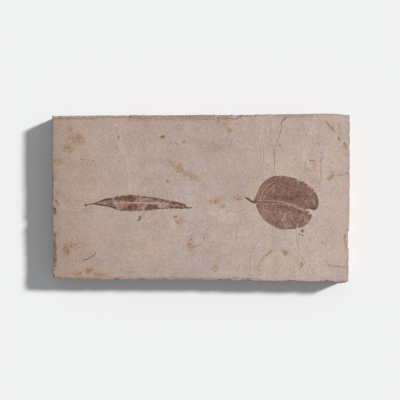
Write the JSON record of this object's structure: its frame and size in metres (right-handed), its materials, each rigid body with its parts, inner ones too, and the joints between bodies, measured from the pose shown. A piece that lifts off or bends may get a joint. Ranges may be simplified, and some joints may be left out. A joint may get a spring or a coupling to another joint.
{
  "type": "fossil leaf plate",
  "caption": "Sawn limestone block split along its bedding to show a slender toothed leaf and a round stalked leaf as brown carbon fossils, for display.",
  "frame": {"origin": "centre of the sawn back, on the surface that the plate lies on", "axes": "+X along the long side towards the round leaf, +Y across the face towards the leaves' upper sides, +Z out of the fossil face"},
  "size_m": [0.298, 0.171, 0.0257],
  "materials": {
    "limestone": "matt, natural split face and sawn sides and back",
    "round_leaf_film": "matt brown carbon film",
    "lance_leaf_film": "matt dark brown carbon film",
    "scrap_film": "matt dark purplish brown carbon film"
  },
  "bodies": {
    "root": {"slab": "limestone", "round_leaf": "round_leaf_film", "lance_leaf": "lance_leaf_film", "stem_scrap": "scrap_film", "leaf_scrap": "scrap_film"}
  },
  "joints": []
}
